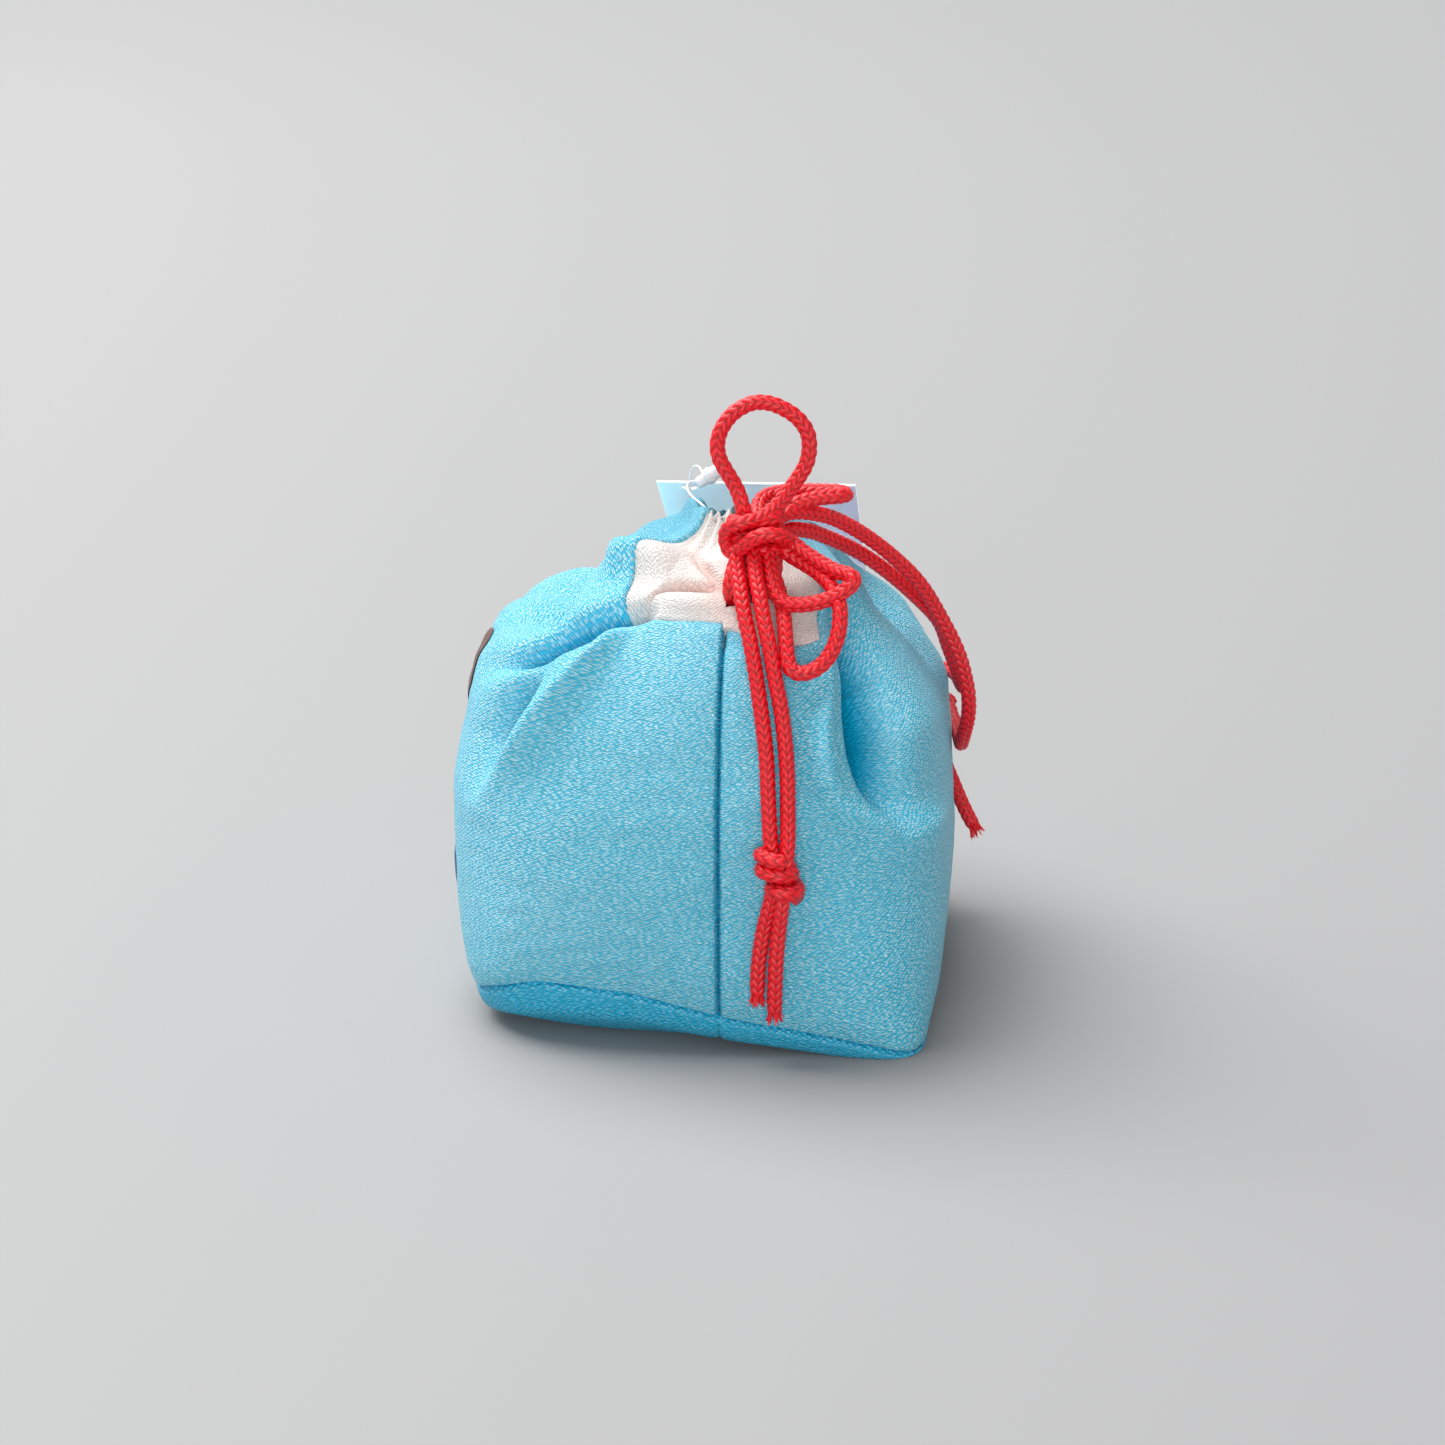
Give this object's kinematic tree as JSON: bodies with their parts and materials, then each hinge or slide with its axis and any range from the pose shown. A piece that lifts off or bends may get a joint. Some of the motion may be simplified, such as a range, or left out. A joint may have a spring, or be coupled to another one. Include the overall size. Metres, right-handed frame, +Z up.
{
  "type": "drawstring pouch",
  "caption": "Small padded-looking drawstring pouch of crinkled cloth, tied shut with a doubled braided cord in a bow, with a hang tag on a nylon loop.",
  "frame": {"origin": "on the flat bottom, under the middle of the stuffed body", "axes": "+Z up, +X towards the side with the bow, the front panel faces -Y and the back panel +Y"},
  "size_m": [0.1382, 0.1139, 0.1343],
  "materials": {
    "crepe": "crinkled light blue cloth with a soft sheen",
    "lining": "plain white cloth",
    "white_crepe": "crinkled white cloth",
    "red_cord": "glossy braided red cord",
    "card": "pale blue coated card",
    "nylon": "clear nylon",
    "brown_thread": "brown sewn patch",
    "blue_thread": "blue sewn patch"
  },
  "bodies": {
    "pouch": {"outer_front_panel": "crepe", "outer_back_panel": "crepe", "lining_front_panel": "lining", "lining_back_panel": "lining", "near_facing_front": "white_crepe", "near_facing_back": "white_crepe", "far_facing_front": "white_crepe", "far_facing_back": "white_crepe", "lower_drawcord": "red_cord", "upper_drawcord": "red_cord", "bow_knot": "red_cord", "top_loop": "red_cord", "side_loop": "red_cord", "pointed_loop": "red_cord", "hanging_loop": "red_cord", "front_tail_left": "red_cord", "front_tail_right": "red_cord", "front_tail_knot": "red_cord", "front_end_left": "red_cord", "front_end_right": "red_cord", "back_tail_outer": "red_cord", "back_tail_inner": "red_cord", "back_tail_knot": "red_cord", "back_end_outer": "red_cord", "back_end_inner": "red_cord", "tag_thread_rear": "nylon", "tag_thread_front": "nylon", "tag_lock": "nylon", "leaf_patch": "brown_thread", "dot_patch": "blue_thread"},
    "tag": {"hang_tag": "card"}
  },
  "joints": [
    {"name": "tag_swing", "type": "hinge", "parent": "pouch", "child": "tag", "pos_m": [-0.006, -0.0052, 0.10743], "axis": [0, 1, 0], "range_deg": [0, 60]}
  ]
}
